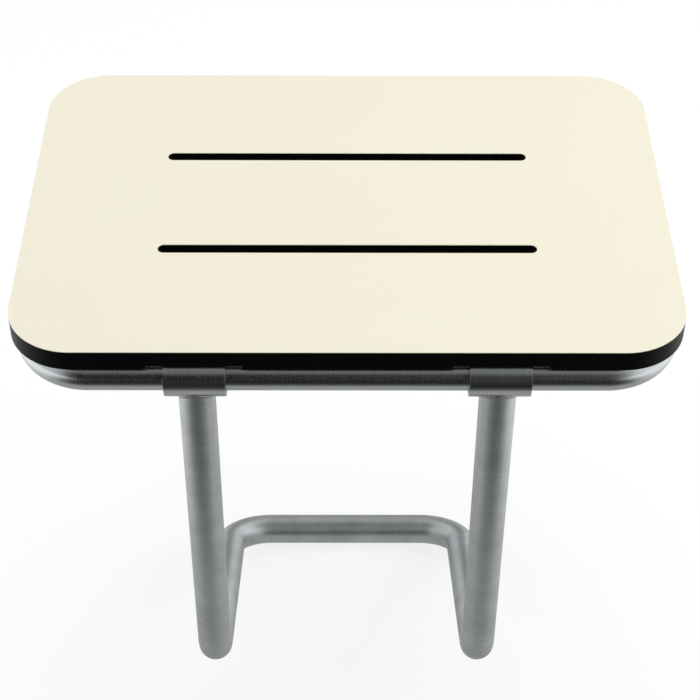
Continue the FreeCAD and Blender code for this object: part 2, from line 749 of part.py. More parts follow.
def leg_tube():
    """The leg: one tube bent in two planes, its tops coped to the sleeves."""
    side = number(LEG_X)
    drop = number("knee_drop")
    foot = Vector(0, number("foot_run"), -drop - number("foot_fall"))
    across = Vector(side, 0, 0)
    knee = Vector(0, 0, -drop)
    points = [-across, knee - across, foot - across, foot + across, knee + across, across]
    knee_radius = number("knee_bend_radius")
    foot_radius = number("foot_bend_radius")
    path = rounded_path(points, [knee_radius, foot_radius, foot_radius, knee_radius])
    outer_radius = number(TUBE_RADIUS)
    inner_radius = outer_radius - number("tube_wall")
    skins = []
    for radius in (outer_radius, inner_radius):
        section = Part.Wire(Part.makeCircle(radius, points[0], Vector(0, 0, 1)))
        skin = path.makePipeShell([section], True, False)
        expected = math.pi * radius * radius * path.Length
        if abs(skin.Volume - expected) > expected / 1000:
            raise RuntimeError("leg_tube: the sweep doesn't hold its section times its length")
        skins.append(skin)
    shape = skins[0].cut(skins[1])
    cope_start = Vector(-2 * side, 0, 0)
    cope = Part.makeCylinder(number(SLEEVE_DIAMETER) / 2, 4 * side, cope_start, Vector(1, 0, 0))
    tube = doc.addObject("Part::Feature", "leg_tube")
    tube.Shape = shape.cut(cope)
    place(tube, "0", FRONT_Y, "pivot_rise")
    return tube


nodes = panel()
nodes.append(seat_frame_tube())
nodes.append(rear_cross_tube())
nodes += lugs()
nodes += panel_fasteners()
nodes += arm_pivots()
nodes += wall_brackets()
nodes += bracket_hardware()
nodes += leg_hinges()
nodes.append(leg_tube())
doc.recompute()

for item in doc.Objects:
    if "Invalid" in item.State or "Error" in item.State:
        raise RuntimeError(f"{item.Name}: {item.State}")
for node in nodes:
    if node.Shape.isNull() or not node.Shape.isValid() or not node.Shape.Solids:
        raise RuntimeError(f"{node.Label}: bad shape")

os.makedirs("parts", exist_ok=True)
for node in nodes:
    node.Shape.exportStep(f"parts/{node.Label}.step")
    print(f"{node.Label}: {len(node.Shape.Solids)} solid, {node.Shape.Volume:.0f} mm3")
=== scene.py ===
import math

import bmesh
import bpy
import numpy as np
from mathutils import Matrix, Vector
from mathutils.geometry import tessellate_polygon


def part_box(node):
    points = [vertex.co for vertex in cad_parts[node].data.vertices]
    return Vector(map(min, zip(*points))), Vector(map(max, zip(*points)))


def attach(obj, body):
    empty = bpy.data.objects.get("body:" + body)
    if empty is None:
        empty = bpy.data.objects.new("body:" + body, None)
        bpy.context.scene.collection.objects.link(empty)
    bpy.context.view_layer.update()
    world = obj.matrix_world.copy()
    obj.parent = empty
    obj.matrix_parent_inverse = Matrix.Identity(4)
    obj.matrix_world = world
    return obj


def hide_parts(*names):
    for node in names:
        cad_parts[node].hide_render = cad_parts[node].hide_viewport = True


# A fold down wall seat: an ivory laminate board on a bent tube frame, two wall brackets and a swing leg.
# Metres, in the frame of the parts: the wall is Y = 0, the seat reaches to -Y, X runs across and Z is up.
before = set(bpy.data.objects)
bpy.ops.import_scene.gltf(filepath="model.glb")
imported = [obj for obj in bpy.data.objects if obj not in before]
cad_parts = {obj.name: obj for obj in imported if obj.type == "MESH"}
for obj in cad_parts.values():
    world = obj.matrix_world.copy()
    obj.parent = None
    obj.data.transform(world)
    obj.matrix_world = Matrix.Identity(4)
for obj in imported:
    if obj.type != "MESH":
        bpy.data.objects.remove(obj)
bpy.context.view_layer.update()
scene = bpy.context.scene
MM = 0.001


# Camera. It stands in front of the seat and looks down at it. Its lens is a focal length in pixels
# of the square frame, which the outline of the board gives.
FOCAL_PIXELS = 1830.0
FRAME_PIXELS = 700.0
CAMERA_PLACE = (-0.0046, -1.2298, 0.9125)
CAMERA_PITCH = 42.436
CAMERA_YAW = 0.29
CAMERA_ROLL = -0.064

camera_data = bpy.data.cameras.new("camera")
camera_data.lens = camera_data.sensor_width * FOCAL_PIXELS / FRAME_PIXELS
camera = bpy.data.objects.new("camera", camera_data)
camera.matrix_world = (
    Matrix.Translation(CAMERA_PLACE)
    @ Matrix.Rotation(math.radians(90 - CAMERA_PITCH), 4, "X")
    @ Matrix.Rotation(math.radians(-CAMERA_YAW), 4, "Y")
    @ Matrix.Rotation(math.radians(-CAMERA_ROLL), 4, "Z")
)
scene.collection.objects.link(camera)
scene.camera = camera
scene.view_settings.view_transform = "Standard"


# Studio. The floor and the backdrop are white to the camera. The steel mirrors a dark wedge in front of
# the seat with bright sides, and the white floor below the seat, which is the crisp band along the
# underside of the tubes. Three large soft lamps hang round it.
FLOOR_DROP = 0.3 * MM
FLOOR_HALF = 4.0
FLOOR_PAINT = "#e6e6e6"
SKY = 0.6
CAMERA_SHARE = 0.3
CAMERA_FILL = 1.12
# What the steel mirrors: how bright each part of the floor and of the sky is, and where it begins.
WHITE_EDGE_Y = -0.62
WHITE_EDGE_BLUR = 0.03
DARK_FLOOR_Y = -0.93
FLOOR_IN_STEEL = 0.5
FRONT_FLOOR_IN_STEEL = (0.03, 0.18)
FLOOR_SIDES_IN_STEEL = 1.5
SKY_FRONT_Y = (-0.8, -0.3)
SKY_FRONT_IN_STEEL = (0.02, 0.28)
SKY_TOP_Z = (0.35, 0.6)
SKY_TOP_IN_STEEL = 0.22
SKY_SIDES_IN_STEEL = 1.1
SKY_RIGHT_IN_STEEL = 0.2
WEDGE_LEAN = 0.45
FLOOR_WEDGE = (0.25, 0.7)
SKY_WEDGE = (0.18, 0.38)
# Name, place, target, width in metres and power in watts.
LAMPS = (
    ("overhead_lamp", (0.0, 0.2, 2.0), (0.0, -0.18, 0.0), 1.6, 12.6),
    ("left_lamp", (-1.8, -0.3, 0.8), (0.0, -0.2, 0.0), 1.0, 5.0),
    ("right_lamp", (1.8, -0.3, 0.8), (0.0, -0.2, 0.0), 1.0, 13.5),
)


def linear(colour):
    """An sRGB hex colour as linear RGBA: c / 12.92 up to 0.04045, above it ((c + 0.055) / 1.055) ^ 2.4."""
    shares = np.array([int(colour[start : start + 2], 16) / 255 for start in (1, 3, 5)])
    curve = ((shares + 0.055) / 1.055) ** 2.4
    return (*np.where(shares <= 0.04045, shares / 12.92, curve), 1.0)


def add(tree, kind, inputs, **settings):
    """Add a node with its settings. An input given as a socket is linked, and any other value is set."""
    node = tree.nodes.new(kind)
    for name, value in settings.items():
        setattr(node, name, value)
    for name, value in inputs.items():
        if isinstance(value, bpy.types.NodeSocket):
            tree.links.new(value, node.inputs[name])
        else:
            node.inputs[name].default_value = value
    return node


def empty_tree(owner):
    """The node tree of a material or world, with nothing in it but its output."""
    owner.use_nodes = True
    tree = owner.node_tree
    kind = "ShaderNodeOutputWorld" if isinstance(owner, bpy.types.World) else "ShaderNodeOutputMaterial"
    for node in list(tree.nodes):
        tree.nodes.remove(node)
    return tree, tree.nodes.new(kind).inputs["Surface"]


def beside(tree, axes, wedge):
    """0 in front of the seat and 1 beside it: |x| + WEDGE_LEAN min(y, 0), mapped from the wedge's ends."""
    aside = add(tree, "ShaderNodeMath", {0: axes["X"]}, operation="ABSOLUTE").outputs[0]
    ahead = add(tree, "ShaderNodeMath", {0: axes["Y"], 1: 0.0}, operation="MINIMUM").outputs[0]
    leaning = add(tree, "ShaderNodeMath", {0: ahead, 1: WEDGE_LEAN, 2: aside}, operation="MULTIPLY_ADD")
    ends = {"Value": leaning.outputs[0], "From Min": wedge[0], "From Max": wedge[1]}
    return add(tree, "ShaderNodeMapRange", ends).outputs[0]


def floor_material():
    """White to the camera with a faint shadow; in steel it is white up to its dark front edge."""
    material = bpy.data.materials.new("white_painted_studio_floor")
    tree, surface = empty_tree(material)
    ray = add(tree, "ShaderNodeLightPath", {}).outputs
    place = add(tree, "ShaderNodeTexCoord", {}).outputs["Object"]
    axes = add(tree, "ShaderNodeSeparateXYZ", {0: place}).outputs
    lit = add(tree, "ShaderNodeBsdfDiffuse", {"Color": linear(FLOOR_PAINT)}).outputs[0]
    fill = add(tree, "ShaderNodeEmission", {"Strength": CAMERA_FILL}).outputs[0]
    kept = add(tree, "ShaderNodeMixShader", {0: 1 - CAMERA_SHARE, 1: lit, 2: fill}).outputs[0]
    seen = add(tree, "ShaderNodeMixShader", {0: ray["Is Camera Ray"], 1: lit, 2: kept}).outputs[0]
    front = {
        "Value": axes["Y"],
        "From Min": DARK_FLOOR_Y,
        "From Max": WHITE_EDGE_Y,
        "To Min": FRONT_FLOOR_IN_STEEL[0],
        "To Max": FRONT_FLOOR_IN_STEEL[1],
    }
    edge = {
        "Value": axes["Y"],
        "From Min": WHITE_EDGE_Y - WHITE_EDGE_BLUR,
        "From Max": WHITE_EDGE_Y + WHITE_EDGE_BLUR,
        "To Min": add(tree, "ShaderNodeMapRange", front).outputs[0],
        "To Max": FLOOR_IN_STEEL,
    }
    ahead = add(tree, "ShaderNodeMapRange", edge).outputs[0]
    sides = {0: beside(tree, axes, FLOOR_WEDGE), 2: ahead, 3: FLOOR_SIDES_IN_STEEL}
    white = add(tree, "ShaderNodeMix", sides).outputs[0]
    mirrored = add(tree, "ShaderNodeEmission", {"Strength": white}).outputs[0]
    whole = add(tree, "ShaderNodeMixShader", {0: ray["Is Glossy Ray"], 1: seen, 2: mirrored})
    tree.links.new(whole.outputs[0], surface)
    return material


def studio_world():
    """An even sky, white to the camera; in steel it is dark in front with bright sides and back."""
    world = bpy.data.worlds.new("studio")
    tree, surface = empty_tree(world)
    ray = add(tree, "ShaderNodeLightPath", {}).outputs
    way = add(tree, "ShaderNodeTexCoord", {}).outputs["Generated"]
    axes = add(tree, "ShaderNodeSeparateXYZ", {0: way}).outputs
    front = {
        "Value": axes["Y"],
        "From Min": SKY_FRONT_Y[0],
        "From Max": SKY_FRONT_Y[1],
        "To Min": SKY_FRONT_IN_STEEL[0],
        "To Max": SKY_FRONT_IN_STEEL[1],
    }
    top = {
        "Value": axes["Z"],
        "From Min": SKY_TOP_Z[0],
        "From Max": SKY_TOP_Z[1],
        "To Max": SKY_TOP_IN_STEEL,
    }
    lower = add(tree, "ShaderNodeMapRange", front).outputs[0]
    upper = add(tree, "ShaderNodeMapRange", top).outputs[0]
    ahead = add(tree, "ShaderNodeMath", {0: lower, 1: upper}, operation="MAXIMUM").outputs[0]
    sides = {0: beside(tree, axes, SKY_WEDGE), 2: ahead, 3: SKY_SIDES_IN_STEEL}
    whole = add(tree, "ShaderNodeMix", sides).outputs[0]
    rightward = {0: axes["X"], 1: SKY_RIGHT_IN_STEEL, 2: whole}
    to_right = add(tree, "ShaderNodeMath", rightward, operation="MULTIPLY_ADD").outputs[0]
    steel_sky = add(tree, "ShaderNodeMix", {0: ray["Is Glossy Ray"], 2: SKY, 3: to_right}).outputs[0]
    strength = add(tree, "ShaderNodeMix", {0: ray["Is Camera Ray"], 2: steel_sky, 3: 1.0}).outputs[0]
    sky = add(tree, "ShaderNodeBackground", {"Color": (1, 1, 1, 1), "Strength": strength}).outputs[0]
    tree.links.new(sky, surface)
    return world


floor_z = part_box("leg_tube")[0].z - FLOOR_DROP
floor_corners = [
    (x * FLOOR_HALF, y * FLOOR_HALF, floor_z) for x, y in ((-1, -1), (1, -1), (1, 1), (-1, 1))
]
floor_mesh = bpy.data.meshes.new("floor")
floor_mesh.from_pydata(floor_corners, [], [(0, 1, 2, 3)])
floor_mesh.materials.append(floor_material())
floor = bpy.data.objects.new("floor", floor_mesh)
scene.collection.objects.link(floor)
scene.world = studio_world()
for name, place, target, width, power in LAMPS:
    lamp_data = bpy.data.lights.new(name, "AREA")
    lamp_data.shape = "SQUARE"
    lamp_data.size = width
    lamp_data.energy = power
    lamp = bpy.data.objects.new(name, lamp_data)
    aim = (Vector(target) - Vector(place)).to_track_quat("-Z", "Y")
    lamp.matrix_world = Matrix.Translation(place) @ aim.to_matrix().to_4x4()
    lamp.visible_glossy = False
    scene.collection.objects.link(lamp)


# Board. 5/8 inch solid laminate: a black resin core with an ivory decor sheet pressed on top and a black
# one below. The outline, the drain slots and two rebates over the leg's hinges are routed, and then the
# upper edge is eased with an abrasive pad.
BOARD_CORNER = 45.6 * MM
SLOT_LENGTH = 265.4 * MM
SLOT_WIDTH = 8.8 * MM
FRONT_SLOT_SETBACK = 107.4 * MM
REAR_SLOT_SETBACK = 215.2 * MM
EDGE_EASE = 0.45 * MM
CORNER_STEPS = 33
SLOT_STEPS = 17
EASE_STEPS = 5
MERGED = 0.001 * MM
CREASE = math.radians(35)
FLAT = math.radians(1)
PEBBLE = 0.714 * MM
CLOUD = 111.0 * MM
SANDING_LENGTH = 40.0 * MM
SANDING_SPACING = 0.556 * MM
IVORY = "#f2eedb"
IVORY_WARM = "#f0ebd6"
CORE_BLACK = "#030303"
CORE_DUST = "#070707"


def rounded_outline(centre, half, radius, steps):
    """Points round a rectangle with quarter circle corners: corner centre + radius * (cos a, sin a)."""
    angle = np.linspace(0, math.pi / 2, steps)
    arcs = []
    for quarter, side in enumerate(((1, 1), (-1, 1), (-1, -1), (1, -1))):
        turned_angle = angle + quarter * math.pi / 2
        arc = np.stack([np.cos(turned_angle), np.sin(turned_angle)], 1)
        arcs.append(np.array(centre) + np.array(side) * (np.array(half) - radius) + radius * arc)
    return np.concatenate(arcs)


def grid_faces(rows, columns, wrap_rows, wrap_columns):
    """The numbers of a grid's points, rows by columns, and its quads, joined round where it wraps."""
    numbers = np.arange(rows * columns).reshape(rows, columns)
    below = numbers if wrap_rows else numbers[:-1]
    above = np.roll(numbers, -1, axis=0) if wrap_rows else numbers[1:]
    quads = np.stack([below, np.roll(below, -1, 1), np.roll(above, -1, 1), above], -1)
    if not wrap_columns:
        quads = quads[:, :-1]
    return numbers, quads.reshape(-1, 4)


def slab(outer, holes, levels):
    """A flat sheet with through holes. An outline is (centre, half sizes, corner radius, steps).

    levels are (height, ease) from the bottom up: there the outer outline is drawn in by the ease and
    each hole is let out by it.
    """
    faces = []
    rims = []
    points = []
    for direction, (centre, half, radius, steps) in [(-1, outer)] + [(1, hole) for hole in holes]:
        rings = []
        for height, ease in levels:
            grown = np.array(half) + direction * ease
            ring = rounded_outline(centre, grown, radius + direction * ease, steps)
            rings.append(np.column_stack([ring, np.full(len(ring), height)]))
        numbers, quads = grid_faces(len(rings), len(rings[0]), False, True)
        first = len(points)
        faces += (quads + first).tolist()
        rims.append((numbers[0] + first, numbers[-1] + first))
        points += list(np.concatenate(rings))
    for loops in zip(*rims):
        order = np.concatenate(loops)
        flat = [[Vector((*points[corner][:2], 0)) for corner in loop] for loop in loops]
        faces += order[np.array(tessellate_polygon(flat))].tolist()
    return np.array(points), faces, None


def finish_mesh(mesh):
    """Merge doubles, turn the faces outwards and shade smooth up to a crease."""
    work = bmesh.new()
    work.from_mesh(mesh)
    bmesh.ops.remove_doubles(work, verts=work.verts, dist=MERGED)
    bmesh.ops.recalc_face_normals(work, faces=work.faces)
    work.to_mesh(mesh)
    work.free()
    mesh.polygons.foreach_set("use_smooth", np.ones(len(mesh.polygons), bool))
    mesh.set_sharp_from_angle(angle=CREASE)


def new_piece(name, solids, body, material, nodes=(), bevel=0.0):
    """A piece made of closed solids (points, faces, uv or None) that rides on a body, for CAD nodes or
    beside them. Its edges are eased to the width of the bevel."""
    mesh = bpy.data.meshes.new(name)
    polygons = []
    start = 0
    for points, faces, _ in solids:
        polygons += [[corner + start for corner in face] for face in faces]
        start += len(points)
    mesh.from_pydata(np.concatenate([points for points, faces, uv in solids]), [], polygons)
    if solids[0][2] is not None:
        layer = mesh.uv_layers.new(name="UVMap")
        layer.data.foreach_set("uv", np.concatenate([uv for points, faces, uv in solids]).ravel())
    finish_mesh(mesh)
    mesh.materials.append(material)
    piece = bpy.data.objects.new(name, mesh)
    scene.collection.objects.link(piece)
    if bevel:
        eased = piece.modifiers.new("eased_edges", "BEVEL")
        eased.width = bevel
        eased.segments = 2
        eased.angle_limit = CREASE
    weights = piece.modifiers.new("flat_faces_stay_flat", "WEIGHTED_NORMAL")
    weights.keep_sharp = True
    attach(piece, body)
    if nodes:
        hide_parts(*nodes)
    return piece


def eased_part(name, node, body, material, width):
    """A part's own shape with its flat faces made whole and its sharp edges rounded to a width."""
    work = bmesh.new()
    work.from_mesh(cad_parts[node].data)
    bmesh.ops.remove_doubles(work, verts=work.verts, dist=MERGED)
    bmesh.ops.dissolve_limit(work, angle_limit=FLAT, verts=work.verts, edges=work.edges)
    mesh = bpy.data.meshes.new(name)
    work.to_mesh(mesh)
    work.free()
    points = np.empty(len(mesh.vertices) * 3)
    mesh.vertices.foreach_get("co", points)
    solid = (points.reshape(-1, 3), [list(face.vertices) for face in mesh.polygons], None)
    bpy.data.meshes.remove(mesh)
    return new_piece(name, [solid], body, material, [node], bevel=width)


def marked_shader(tree, surface, marks, tone, colours, roughness, relief, **sockets):
    """A principled shader for a surface whose marks and tone run from 0 to 1.

    The tone mixes the two hex colours. The marks take the roughness from its first to its second value
    and raise the surface by relief, a (depth, strength), or by nothing.
    """
    inputs = {name.replace("_", " "): value for name, value in sockets.items()}
    mixed = {0: tone, 6: linear(colours[0]), 7: linear(colours[1])}
    inputs["Base Color"] = add(tree, "ShaderNodeMix", mixed, data_type="RGBA").outputs[2]
    spread = {"Value": marks, "To Min": roughness[0], "To Max": roughness[1]}
    inputs["Roughness"] = add(tree, "ShaderNodeMapRange", spread).outputs[0]
    if relief:
        bump = {"Height": marks, "Distance": relief[0], "Strength": relief[1]}
        inputs["Normal"] = add(tree, "ShaderNodeBump", bump).outputs[0]
    shader = add(tree, "ShaderNodeBsdfPrincipled", inputs)
    tree.links.new(shader.outputs[0], surface)


def marked_material(name, patterns, colours, roughness, relief=None, stretched_along=None, **sockets):
    """A material with the marks of its finish, which are noise over Object coordinates.

    A pattern is (size of a mark along X, Y and Z in metres, detail). The first one sets the roughness and
    the height, and the last one the colour. The highlight can be stretched along a direction.
    """
    material = bpy.data.materials.new(name)
    tree, surface = empty_tree(material)
    place = add(tree, "ShaderNodeTexCoord", {}).outputs["Object"]
    marks = []
    for sizes, detail in patterns:
        per_metre = [1 / size for size in sizes]
        scaled = add(tree, "ShaderNodeVectorMath", {0: place, 1: per_metre}, operation="MULTIPLY")
        noise = {"Vector": scaled.outputs[0], "Scale": 1.0, "Detail": detail}
        marks.append(add(tree, "ShaderNodeTexNoise", noise).outputs[0])
    if stretched_along is not None:
        along = add(tree, "ShaderNodeCombineXYZ", dict(zip("XYZ", stretched_along)))
        sockets["Tangent"] = along.outputs[0]
    marked_shader(tree, surface, marks[0], marks[-1], colours, roughness, relief, **sockets)
    return material


# Melamine pressed against a matt plate: a fine pebble softens its low gloss, and slow clouds of tone keep
# the ivory from looking flat. The black sheet below is pressed in the same way.
ivory_melamine = marked_material(
    "ivory_matt_pressed_melamine",
    [((PEBBLE, PEBBLE, PEBBLE), 3.0), ((CLOUD, CLOUD, CLOUD), 2.0)],
    (IVORY_WARM, IVORY),
    roughness=(0.42, 0.58),
    relief=(0.03 * MM, 0.35),
    Specular_IOR_Level=0.35,
)
black_melamine = marked_material(
    "black_matt_pressed_melamine",
    [((PEBBLE, PEBBLE, PEBBLE), 3.0)],
    (CORE_BLACK, CORE_DUST),
    roughness=(0.42, 0.58),
    relief=(0.03 * MM, 0.35),
    Specular_IOR_Level=0.2,
)
# Routed and sanded phenolic resin: near black, with long sanding lines that catch a little light.
phenolic_core = marked_material(
    "black_routed_phenolic_core",
    [((SANDING_LENGTH, SANDING_LENGTH, SANDING_SPACING), 3.0)],
    (CORE_BLACK, CORE_DUST),
    roughness=(0.34, 0.52),
    relief=(0.02 * MM, 0.2),
    Specular_IOR_Level=0.06,
)

board_low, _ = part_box("bottom_decor_face")
_, board_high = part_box("top_decor_face")
core_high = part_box("seat_core")[1]
board_centre = ((board_low.x + board_high.x) / 2, (board_low.y + board_high.y) / 2)
board_half = ((board_high.x - board_low.x) / 2, (board_high.y - board_low.y) / 2)
slot_half = (SLOT_LENGTH / 2, SLOT_WIDTH / 2)
slots = [
    ((board_centre[0], board_low.y + setback), slot_half, SLOT_WIDTH / 2, SLOT_STEPS)
    for setback in (FRONT_SLOT_SETBACK, REAR_SLOT_SETBACK)
]
eased_rim = [
    (board_high.z - EDGE_EASE + EDGE_EASE * math.sin(a), EDGE_EASE - EDGE_EASE * math.cos(a))
    for a in np.linspace(0, math.pi / 2, EASE_STEPS)
]
board_outline = (board_centre, board_half, BOARD_CORNER, CORNER_STEPS)
top_sheet = slab(board_outline, slots, [(core_high.z, 0.0)] + eased_rim)
new_piece("top_decor_sheet", [top_sheet], "seat", ivory_melamine, ["top_decor_face"])
eased_part("laminate_core", "seat_core", "seat", phenolic_core, 0.0)
eased_part("bottom_decor_sheet", "bottom_decor_face", "seat", black_melamine, 0.0)


# Seat frame. One length of 25.4 mm round stainless tube bent to a U: a front run and two arms to the
# wall. It is satin ground with a belt carried round the tube, so the grain runs round it.
TUBE_WALL = 1.65 * MM
FRAME_BEND = 40.0 * MM
TUBE_COLUMNS = 72
BEND_STEP = math.radians(3)
RING_SPACING = 2 / 3 * MM
RING_RUN = 16.7 * MM
RING_RELIEF = (0.006 * MM, 0.04)
STAIN = 22.2 * MM
STAIN_SHARE = 0.5
STEEL = "#c0c4c6"
STEEL_GREY = "#b5b9bb"


def unit(vector):
    """The vector divided by its length."""
    return vector / np.linalg.norm(vector)


def bent_path(corners, radius_of):
    """Points and directions along straight runs joined by tangent arcs.

    At a corner of half angle h, an arc of radius r starts r / tan h before it, and its centre lies
    r / sin h from it, midway between the two runs.
    """
    points = [corners[0]]
    ways = [unit(corners[1] - corners[0])]
    for before, corner, after, radius in zip(corners, corners[1:], corners[2:], radius_of):
        back = unit(before - corner)
        onward = unit(after - corner)
        half = math.acos(np.dot(back, onward)) / 2
        centre = corner + unit(back + onward) * radius / math.sin(half)
        outward = unit(corner + back * radius / math.tan(half) - centre)
        turn = math.pi - 2 * half
        angle = np.linspace(0, turn, math.ceil(turn / BEND_STEP) + 1)[:, None]
        points += list(centre + radius * (np.cos(angle) * outward - np.sin(angle) * back))
        ways += list(-np.sin(angle) * outward - np.cos(angle) * back)
    points.append(corners[-1])
    ways.append(unit(corners[-1] - corners[-2]))
    return np.array(points), np.array(ways)


def carried_sides(ways, side):
    """Two unit vectors square to each direction, turned as little as possible from one to the next."""
    sides = []
    for way in ways:
        side = unit(side - np.dot(side, way) * way)
        sides.append(side)
    return np.array(sides), np.cross(ways, sides)


def coped(ring, middle, inward, cope_radius, bar_axis):
    """A tube's end ring moved in along the tube until it meets a round bar whose axis passes its middle.

    A point that is offset from the bar's axis by d moves in by the square root of cope_radius^2 - d^2.
    """
    offset = (ring - middle) @ np.cross(inward, bar_axis)
    return ring + np.sqrt(cope_radius**2 - offset**2)[:, None] * inward


def tube_solid(corners, radius_of, radius, side, cope=None):
    """A hollow round tube along a bent path: each ring is P + r (cos v side + sin v up).

    cope is the (radius, axis) of the bars that its two ends are fitted to. UV is the length along the
    tube and the length round it, both in metres.
    """
    points, ways = bent_path([np.array(corner) for corner in corners], radius_of)
    sides, ups = carried_sides(ways, np.array(side))
    around = np.linspace(0, 2 * math.pi, TUBE_COLUMNS, endpoint=False)[None, :, None]
    spokes = np.cos(around) * sides[:, None] + np.sin(around) * ups[:, None]
    skins = []
    for skin_radius in (radius, radius - TUBE_WALL):
        rings = points[:, None] + skin_radius * spokes
        if cope:
            rings[0] = coped(rings[0], points[0], ways[0], *cope)
            rings[-1] = coped(rings[-1], points[-1], -ways[-1], *cope)
        skins.append(rings)
    whole = np.concatenate([skins[0], skins[1][::-1]])
    run = np.concatenate([[0], np.cumsum(np.linalg.norm(np.diff(points, axis=0), axis=1))])
    quads = grid_faces(*whole.shape[:2], True, True)[1]
    row, column = np.divmod(quads, TUBE_COLUMNS)
    past_seam = (column == 0) & (column[:, :1] == TUBE_COLUMNS - 1)
    round_it = (column + TUBE_COLUMNS * past_seam) * 2 * math.pi * radius / TUBE_COLUMNS
    uv = np.stack([np.concatenate([run, run[::-1]])[row], round_it], -1)
    return whole.reshape(-1, 3), quads.tolist(), uv.reshape(-1, 2)


def satin_tube_steel(name, colours, roughness, stretch):
    """Stainless ground with a belt round the tube: its fine rings blur what it mirrors along the tube.

    The rings are noise over the length along the tube, from the UV map, moved slowly by the place so
    that they break up. They are under 0.1 mm apart on the real tube and drawn coarser, so that they show.
    """
    material = bpy.data.materials.new(name)
    tree, surface = empty_tree(material)
    coordinates = add(tree, "ShaderNodeTexCoord", {}).outputs
    length = {0: coordinates["UV"], 1: (1 / RING_SPACING, 0, 0)}
    along = add(tree, "ShaderNodeVectorMath", length, operation="MULTIPLY").outputs[0]
    broken = {0: coordinates["Object"], 1: (1 / RING_RUN, 1 / RING_RUN, 1 / RING_RUN), 2: along}
    ringed = add(tree, "ShaderNodeVectorMath", broken, operation="MULTIPLY_ADD").outputs[0]
    rings = add(tree, "ShaderNodeTexNoise", {"Vector": ringed, "Scale": 1.0, "Detail": 2.0}).outputs[0]
    spots = {"Vector": coordinates["Object"], "Scale": 1 / STAIN, "Detail": 3.0}
    stains = add(tree, "ShaderNodeTexNoise", spots).outputs[0]
    tone = add(tree, "ShaderNodeMix", {0: STAIN_SHARE, 2: rings, 3: stains}).outputs[0]
    tangent = add(tree, "ShaderNodeTangent", {}, direction_type="UV_MAP", uv_map="UVMap").outputs[0]
    ground = {"Metallic": 1.0, "Anisotropic": stretch, "Tangent": tangent}
    marked_shader(tree, surface, rings, tone, colours, roughness, RING_RELIEF, **ground)
    return material


frame_low, frame_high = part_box("seat_frame_tube")
tube_radius = (frame_high.z - frame_low.z) / 2
arm_x = frame_high.x - tube_radius
front_y = frame_low.y + tube_radius
frame_z = (frame_low.z + frame_high.z) / 2
tube_steel = satin_tube_steel(
    "satin_belt_ground_stainless_tube", (STEEL_GREY, STEEL), roughness=(0.24, 0.3), stretch=0.75
)
frame_corners = [
    (-arm_x, frame_high.y, frame_z),
    (-arm_x, front_y, frame_z),
    (arm_x, front_y, frame_z),
    (arm_x, frame_high.y, frame_z),
]
bent_frame = tube_solid(frame_corners, [FRAME_BEND, FRAME_BEND], tube_radius, (0, 0, 1))
new_piece("frame_tube", [bent_frame], "seat", tube_steel, ["seat_frame_tube"])


# Rear cross tube. A lighter 19 mm stainless tube, satin ground like the frame. Its ends are coped to fit
# between the two arms and are welded to them all round.
ALONG_Y = np.array([0.0, 1.0, 0.0])
cross_low, cross_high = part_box("rear_cross_tube")
cross_radius = (cross_high.z - cross_low.z) / 2
cross_y = (cross_low.y + cross_high.y) / 2
cross_ends = [(-arm_x, cross_y, frame_z), (arm_x, cross_y, frame_z)]
coped_tube = tube_solid(cross_ends, [], cross_radius, (0, 0, 1), (tube_radius, ALONG_Y))
new_piece("cross_tube", [coped_tube], "seat", tube_steel, ["rear_cross_tube"])


# Swing leg. One tube bent in two planes: down from the front sleeve, back at the knee to the wall, and
# across as a foot bar on the floor, then the same up the other side. It is ground duller than the frame.
KNEE_DROP = 298.0 * MM
KNEE_BEND = 28.0 * MM
FOOT_BEND = 36.0 * MM
LEG_GREY = "#989ea0"
LEG_STEEL = "#e2e5e6"
ALONG_X = np.array([1.0, 0.0, 0.0])
sleeve_low, sleeve_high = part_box("left_leg_sleeve")
sleeve_radius = (sleeve_high.z - sleeve_low.z) / 2
leg_low, leg_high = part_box("leg_tube")
leg_x = leg_high.x - tube_radius
foot_y = leg_high.y - tube_radius
foot_z = leg_low.z + tube_radius
knee_z = frame_z - KNEE_DROP
leg_corners = [
    (-leg_x, front_y, frame_z),
    (-leg_x, front_y, knee_z),
    (-leg_x, foot_y, foot_z),
    (leg_x, foot_y, foot_z),
    (leg_x, front_y, knee_z),
    (leg_x, front_y, frame_z),
]
leg_bends = [KNEE_BEND, FOOT_BEND, FOOT_BEND, KNEE_BEND]
leg_steel = satin_tube_steel(
    "dull_belt_ground_stainless_leg", (LEG_GREY, LEG_STEEL), roughness=(0.42, 0.52), stretch=0.4
)
bent_leg = tube_solid(leg_corners, leg_bends, tube_radius, (0, 1, 0), (sleeve_radius, ALONG_X))
new_piece("swing_leg", [bent_leg], "leg", leg_steel, ["leg_tube"])


# Sleeves, lugs, bracket plates and cheeks, pivot tubes and studs. All are plain cuts of stainless bar,
# plate and tube, so each keeps the shape of its part and only gets the eased edges of a deburred cut.
BAR_EDGE = 0.5 * MM
SLEEVE_EDGE = 0.9 * MM
PLATE_EDGE = 0.6 * MM
THIN_EDGE = 0.2 * MM
GRIND_LENGTH = 25.0 * MM
GRIND_SPACING = 2 / 3 * MM
GRIND = {"relief": (0.02 * MM, 0.25), "Metallic": 1.0, "Anisotropic": 0.4}

# Flat stainless ground one way: straight lines along X on plate and along Y on bar, which are a little
# rougher than the tube.
plate_steel = marked_material(
    "satin_ground_stainless_plate",
    [((GRIND_LENGTH, GRIND_SPACING, GRIND_SPACING), 2.0)],
    (STEEL_GREY, STEEL),
    roughness=(0.29, 0.45),
    **GRIND,
)
bar_steel = marked_material(
    "satin_ground_stainless_bar",
    [((GRIND_SPACING, GRIND_LENGTH, GRIND_SPACING), 2.0)],
    (STEEL_GREY, STEEL),
    roughness=(0.27, 0.43),
    **GRIND,
)
